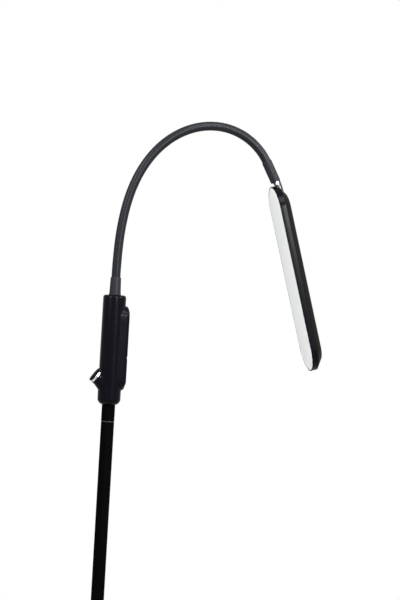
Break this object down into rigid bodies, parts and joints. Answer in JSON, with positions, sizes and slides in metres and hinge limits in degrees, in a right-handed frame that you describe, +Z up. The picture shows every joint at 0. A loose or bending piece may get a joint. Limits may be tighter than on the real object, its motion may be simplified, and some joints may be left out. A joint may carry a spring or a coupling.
{
  "type": "gooseneck floor lamp",
  "caption": "Free-standing reading lamp: round weighted base, slim straight pole, grip with push switch, bendable arched neck and a tilting flat lamp head with round ends.",
  "frame": {"origin": "centre of the base's underside, on the floor", "axes": "+Z up along the pole, +X from the pole towards the lamp head, the neck bends in the XZ plane"},
  "size_m": [0.3809, 0.24, 1.3867],
  "materials": {
    "base_pad": "matt",
    "base_weight": "rough",
    "base_cover": "satin black",
    "bolt_washer": "zinc plated",
    "base_bolt": "zinc plated",
    "pole_foot": "satin black",
    "power_inlet": "matt",
    "pole": "satin black",
    "pole_joiners": "plain",
    "cable": "matt",
    "handle": "satin black",
    "screw": "blackened",
    "board": "satin green",
    "driver_parts": "mixed",
    "button_bezel": "polished",
    "spring": "plain",
    "tact_switch": "matt",
    "ferrule": "satin black",
    "ferrule_nut": "zinc plated",
    "core": "oiled",
    "sleeve": "satin dark grey",
    "lead": "matt",
    "hinge_pin": "polished",
    "hinge_washers": "natural",
    "head_housing": "satin black",
    "knuckle": "satin black",
    "diffuser": "milky",
    "led_board": "white face",
    "leds": "yellow lens",
    "button_cap": "satin black"
  },
  "bodies": {
    "stand": {"base_pad": "base_pad", "base_weight": "base_weight", "base_cover": "base_cover", "bolt_washer": "bolt_washer", "base_bolt": "base_bolt", "pole_foot": "pole_foot", "power_inlet": "power_inlet", "lower_pole": "pole", "middle_pole": "pole", "upper_pole": "pole", "pole_joiners": "pole_joiners", "pole_cable": "cable", "handle_stub": "pole", "handle_front": "handle", "handle_back": "handle", "handle_screws": "screw", "driver_board": "board", "driver_parts": "driver_parts", "button_bezel": "button_bezel", "button_spring": "spring", "tact_switch": "tact_switch", "neck_ferrule": "ferrule", "ferrule_nut": "ferrule_nut", "neck_core_root": "core", "neck_sleeve": "sleeve", "neck_lead": "lead"},
    "neck_01": {"neck_core_01": "core"},
    "neck_02": {"neck_core_02": "core"},
    "neck_03": {"neck_core_03": "core"},
    "neck_04": {"neck_core_04": "core"},
    "neck_05": {"neck_core_05": "core"},
    "neck_06": {"neck_core_06": "core"},
    "neck_07": {"neck_core_07": "core"},
    "neck_08": {"neck_core_08": "core"},
    "neck_09": {"neck_core_09": "core"},
    "neck_10": {"neck_core_10": "core"},
    "neck_11": {"neck_core_11": "core"},
    "neck_12": {"neck_core_12": "core"},
    "neck_13": {"neck_core_13": "core"},
    "neck_14": {"neck_core_14": "core"},
    "neck_15": {"neck_core_15": "core"},
    "neck_16": {"neck_core_16": "core"},
    "neck_end": {"neck_core_end": "core", "fork_ferrule": "ferrule", "hinge_pin": "hinge_pin", "hinge_washers": "hinge_washers", "head_lead": "lead"},
    "head": {"head_housing": "head_housing", "head_knuckle": "knuckle", "knuckle_screw": "screw", "diffuser": "diffuser", "led_board": "led_board", "board_screws": "screw", "leds": "leds"},
    "button": {"button_cap": "button_cap"}
  },
  "joints": [
    {"name": "side_bend_1", "type": "hinge", "parent": "stand", "child": "neck_01", "pos_m": [0, 0, 1.1895], "axis": [-1, 0, 0], "range_deg": [-15, 15], "deforming": ["neck_sleeve", "neck_lead"]},
    {"name": "lower_curl_1", "type": "hinge", "parent": "neck_01", "child": "neck_02", "pos_m": [0, 0, 1.21011], "axis": [0, 1, 0], "range_deg": [-12, 6], "deforming": ["neck_sleeve", "neck_lead"]},
    {"name": "side_bend_2", "type": "hinge", "parent": "neck_02", "child": "neck_03", "pos_m": [0.0013, 0, 1.23067], "axis": [-0.998, 0, 0.0631], "range_deg": [-15, 15], "deforming": ["neck_sleeve", "neck_lead"]},
    {"name": "lower_curl_2", "type": "hinge", "parent": "neck_03", "child": "neck_04", "pos_m": [0.0026, 0, 1.25126], "axis": [0, 1, 0], "range_deg": [-12, 6], "deforming": ["neck_sleeve", "neck_lead"]},
    {"name": "side_bend_3", "type": "hinge", "parent": "neck_04", "child": "neck_05", "pos_m": [0.00654, 0, 1.27151], "axis": [-0.9816, 0, 0.1911], "range_deg": [-15, 15], "deforming": ["neck_sleeve", "neck_lead"]},
    {"name": "lower_curl_3", "type": "hinge", "parent": "neck_05", "child": "neck_06", "pos_m": [0.00851, 0, 1.28163], "axis": [0, 1, 0], "range_deg": [-12, 6], "deforming": ["neck_sleeve", "neck_lead"]},
    {"name": "lower_curl_4", "type": "hinge", "parent": "neck_06", "child": "neck_07", "pos_m": [0.01439, 0, 1.30139], "axis": [0, 1, 0], "range_deg": [-12, 6], "deforming": ["neck_sleeve", "neck_lead"]},
    {"name": "lower_curl_5", "type": "hinge", "parent": "neck_07", "child": "neck_08", "pos_m": [0.02257, 0, 1.32033], "axis": [0, 1, 0], "range_deg": [-12, 6], "deforming": ["neck_sleeve", "neck_lead"]},
    {"name": "upper_curl_1", "type": "hinge", "parent": "neck_08", "child": "neck_09", "pos_m": [0.03331, 0, 1.33795], "axis": [0, 1, 0], "range_deg": [-20, 4], "deforming": ["neck_sleeve", "neck_lead"]},
    {"name": "upper_curl_2", "type": "hinge", "parent": "neck_09", "child": "neck_10", "pos_m": [0.04675, 0, 1.35363], "axis": [0, 1, 0], "range_deg": [-20, 4], "deforming": ["neck_sleeve", "neck_lead"]},
    {"name": "upper_curl_3", "type": "hinge", "parent": "neck_10", "child": "neck_11", "pos_m": [0.06284, 0, 1.36661], "axis": [0, 1, 0], "range_deg": [-20, 4], "deforming": ["neck_sleeve", "neck_lead"]},
    {"name": "upper_curl_4", "type": "hinge", "parent": "neck_11", "child": "neck_12", "pos_m": [0.08123, 0, 1.37605], "axis": [0, 1, 0], "range_deg": [-20, 4], "deforming": ["neck_sleeve", "neck_lead"]},
    {"name": "upper_curl_5", "type": "hinge", "parent": "neck_12", "child": "neck_13", "pos_m": [0.10129, 0, 1.38114], "axis": [0, 1, 0], "range_deg": [-20, 4], "deforming": ["neck_sleeve", "neck_lead"]},
    {"name": "upper_curl_6", "type": "hinge", "parent": "neck_13", "child": "neck_14", "pos_m": [0.12201, 0, 1.38116], "axis": [0, 1, 0], "range_deg": [-20, 4], "deforming": ["neck_sleeve", "neck_lead"]},
    {"name": "upper_curl_7", "type": "hinge", "parent": "neck_14", "child": "neck_15", "pos_m": [0.142, 0, 1.37572], "axis": [0, 1, 0], "range_deg": [-20, 4], "deforming": ["neck_sleeve", "neck_lead"]},
    {"name": "upper_curl_8", "type": "hinge", "parent": "neck_15", "child": "neck_16", "pos_m": [0.15982, 0, 1.36513], "axis": [0, 1, 0], "range_deg": [-20, 4], "deforming": ["neck_sleeve", "neck_lead"]},
    {"name": "upper_curl_9", "type": "hinge", "parent": "neck_16", "child": "neck_end", "pos_m": [0.17418, 0, 1.35018], "axis": [0, 1, 0], "range_deg": [-20, 4], "deforming": ["neck_sleeve", "neck_lead"]},
    {"name": "head_tilt", "type": "hinge", "parent": "neck_end", "child": "head", "pos_m": [0.1922, 0, 1.31677], "axis": [0, -1, 0], "range_deg": [-32, 56], "deforming": ["head_lead"]},
    {"name": "button_press", "type": "slide", "parent": "stand", "child": "button", "axis": [0.7986, 0, -0.6018], "range_m": [0, 0.0005], "stiffness_N_per_m": 400, "deforming": ["button_spring"]}
  ]
}
